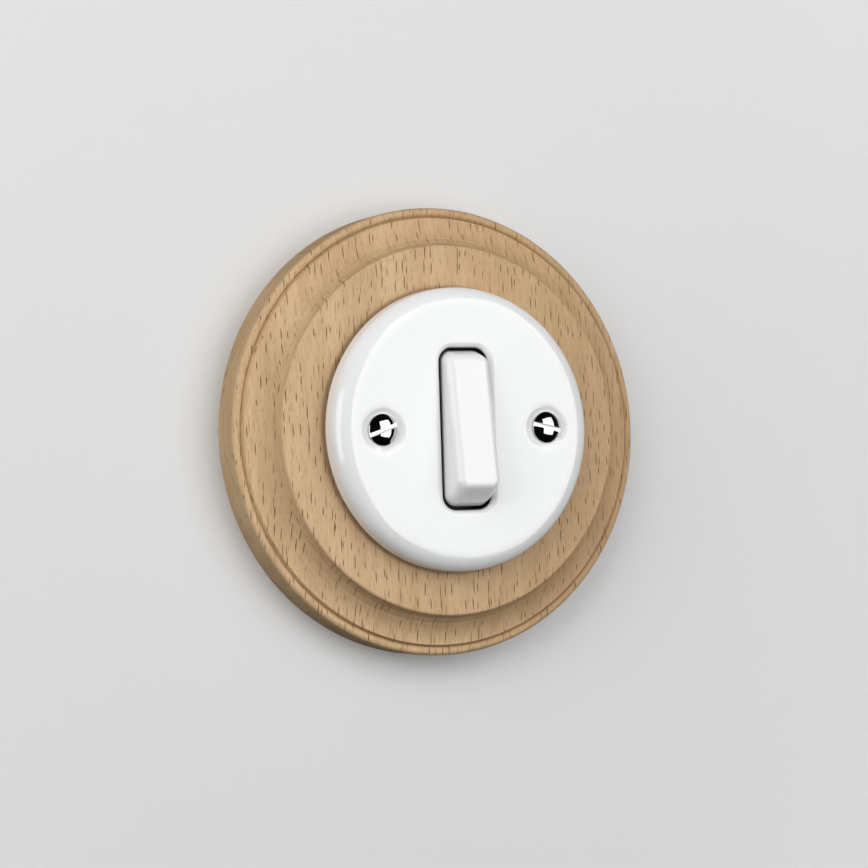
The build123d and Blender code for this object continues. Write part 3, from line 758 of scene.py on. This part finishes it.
# The spring shortens between the end of the core's bore and the plunger
pivot = Vector(joints["rocker_tilt"]["pos_m"]) / MM
outward = Vector(joints["plunger_slide"]["axis"])
spring_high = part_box("plunger_spring")[1]
spring_start = PLUNGER_TOP + SPRING_WIRE_RADIUS + SPRING_FIT
spring_end = SPRING_BORE_END - SPRING_WIRE_RADIUS - SPRING_FIT
spring = grown(
    "plunger_coil",
    coil_spring(),
    wire("spring_start", [pivot + outward * spring_start]),
    "plunger_spring",
    SPRING_SHARPNESS,
    Turns=SPRING_TURNS,
    Length=(spring_end - spring_start) * MM,
    Coil_Radius=spring_high[0] - SPRING_WIRE_RADIUS * MM,
    Wire_Radius=SPRING_WIRE_RADIUS * MM,
    Lean=math.atan2(-outward.y, outward.z),
)
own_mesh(spring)


# Stage, light and camera


PAPER_COLOUR = (0.72, 0.72, 0.72)
PAPER_BOUNCE = (0.22, 0.22, 0.22)
BACKGROUND = 0.85
PAPER_REACH = 3.0
FADE_START = 0.12
FADE_END = 0.45
PAPER_ROUGHNESS = 0.9
WALL_PLANE = -0.0002
FLOOR_DROP = 1.0
LIGHT_DISTANCE = 1.2
AMBIENT = 0.03
DARK_ROOM = 0.004
BRIGHT_ROOM = 0.6
ROOM_EDGE = 0.2


def paper(name, corners, one_sided=False):
    """A sheet of pale paper that takes shadow near the switch and fades into the plain background."""
    mesh = bpy.data.meshes.new(name)
    mesh.from_pydata(corners, [], [range(len(corners))])
    piece = bpy.data.objects.new(name, mesh)
    bpy.context.collection.objects.link(piece)
    material, tree, shader = finish(name)
    seen = add(tree, "ShaderNodeLightPath").outputs["Is Camera Ray"]
    tree.links.new(tint(tree, seen, PAPER_BOUNCE, PAPER_COLOUR), shader.inputs["Base Color"])
    shader.inputs["Roughness"].default_value = PAPER_ROUGHNESS
    where = add(tree, "ShaderNodeTexCoord").outputs["Object"]
    distance = add(tree, "ShaderNodeVectorMath", {0: where}, operation="LENGTH").outputs["Value"]
    fade = calc(tree, "MULTIPLY", spread(tree, distance, FADE_START, FADE_END), seen)
    glow = add(tree, "ShaderNodeEmission", {"Strength": BACKGROUND}).outputs[0]
    look = add(tree, "ShaderNodeMixShader", {0: fade, 1: shader.outputs[0], 2: glow}).outputs[0]
    if one_sided:
        behind = add(tree, "ShaderNodeNewGeometry").outputs["Backfacing"]
        clear = add(tree, "ShaderNodeBsdfTransparent").outputs[0]
        look = add(tree, "ShaderNodeMixShader", {0: behind, 1: look, 2: clear}).outputs[0]
    tree.links.new(look, tree.nodes["Material Output"].inputs["Surface"])
    mesh.materials.append(material)
    return piece


def rectangle(left, low, right, high):
    """Corners of a rectangle, in order."""
    return [(left, low), (right, low), (right, high), (left, high)]


wall = rectangle(-PAPER_REACH, -FLOOR_DROP, PAPER_REACH, PAPER_REACH)
paper("wall", [(x, WALL_PLANE, z) for x, z in wall], one_sided=True)
ground = rectangle(-PAPER_REACH, -PAPER_REACH, PAPER_REACH, PAPER_REACH)
floor = paper("floor", [(x, y, -FLOOR_DROP) for x, y in ground])
floor.visible_diffuse = False
floor.visible_glossy = False


def softbox(name, azimuth, elevation, size, brightness, reflected=True):
    """A soft light that faces the switch; as bright as white paper would be, and mirrored in gloss or not."""
    width, height = size
    lamp = bpy.data.lights.new(name, "AREA")
    lamp.shape = "RECTANGLE"
    lamp.size = width
    lamp.size_y = height
    lamp.energy = brightness * math.pi * width * height
    piece = bpy.data.objects.new(name, lamp)
    a, e = math.radians(azimuth), math.radians(elevation)
    back = Vector((math.sin(a) * math.cos(e), -math.cos(a) * math.cos(e), math.sin(e)))
    piece.location = back * LIGHT_DISTANCE
    piece.rotation_euler = back.to_track_quat("Z", "Y").to_euler()
    piece.visible_glossy = reflected
    bpy.context.collection.objects.link(piece)


softbox("window", azimuth=27, elevation=6, size=(1.2, 1.65), brightness=2.15)
softbox("left_side", azimuth=-70, elevation=4, size=(0.8, 0.9), brightness=2.1)
softbox("high_left", azimuth=-45, elevation=30, size=(1.0, 0.8), brightness=2.9, reflected=False)
softbox("overhead", azimuth=-20, elevation=62, size=(1.0, 0.8), brightness=0.4, reflected=False)
softbox("rear_fill", azimuth=205, elevation=25, size=(1.2, 0.9), brightness=2.0)
softbox("rear_side", azimuth=135, elevation=10, size=(0.7, 0.9), brightness=1.2)

world = bpy.data.worlds.new("studio")
bpy.context.scene.world = world
world.use_nodes = True
sky = world.node_tree
path = add(sky, "ShaderNodeLightPath")
direction = add(sky, "ShaderNodeSeparateXYZ", {0: add(sky, "ShaderNodeTexCoord").outputs["Generated"]})
mirrored = spread(sky, direction.outputs["Y"], -ROOM_EDGE, ROOM_EDGE, DARK_ROOM, BRIGHT_ROOM)
change = calc(sky, "SUBTRACT", mirrored, AMBIENT)
level = calc(sky, "ADD", AMBIENT, calc(sky, "MULTIPLY", path.outputs["Is Glossy Ray"], change))
level = calc(sky, "MAXIMUM", level, calc(sky, "MULTIPLY", path.outputs["Is Camera Ray"], BACKGROUND))
sky.links.new(level, sky.nodes["Background"].inputs["Strength"])
sky.nodes["Background"].inputs["Color"].default_value = (1.0, 1.0, 1.0, 1.0)

# The camera of the photograph, in a square frame
FRAME_PIXELS = 868
FOCAL_PIXELS = 2600.0
CAMERA_AZIMUTH = math.radians(-27.03)
CAMERA_ELEVATION = math.radians(-1.71)
CAMERA_ROLL = math.radians(-1.85)
CAMERA_DISTANCE = 0.76431
ORIGIN_PIXEL = (423.50, 432.50)
SENSOR_WIDTH = 36.0
NEAREST_SEEN = 0.01

camera = bpy.data.cameras.new("camera")
camera.sensor_width = SENSOR_WIDTH
camera.lens = FOCAL_PIXELS * SENSOR_WIDTH / FRAME_PIXELS
camera.clip_start = NEAREST_SEEN
back = Vector(
    (
        math.sin(CAMERA_AZIMUTH) * math.cos(CAMERA_ELEVATION),
        -math.cos(CAMERA_AZIMUTH) * math.cos(CAMERA_ELEVATION),
        math.sin(CAMERA_ELEVATION),
    )
)
level_right = (-back).cross(Vector((0, 0, 1))).normalized()
level_up = level_right.cross(-back)
right = level_right * math.cos(CAMERA_ROLL) + level_up * math.sin(CAMERA_ROLL)
up = level_up * math.cos(CAMERA_ROLL) - level_right * math.sin(CAMERA_ROLL)
per_pixel = CAMERA_DISTANCE / FOCAL_PIXELS
shift_x = (ORIGIN_PIXEL[0] - FRAME_PIXELS / 2) * per_pixel
shift_y = (ORIGIN_PIXEL[1] - FRAME_PIXELS / 2) * per_pixel
viewer = bpy.data.objects.new("camera", camera)
viewer.matrix_world = Matrix.Translation(back * CAMERA_DISTANCE - right * shift_x + up * shift_y) @ Matrix(
    (right, up, back)
).transposed().to_4x4()
bpy.context.collection.objects.link(viewer)
bpy.context.scene.camera = viewer
bpy.context.scene.view_settings.view_transform = "Standard"
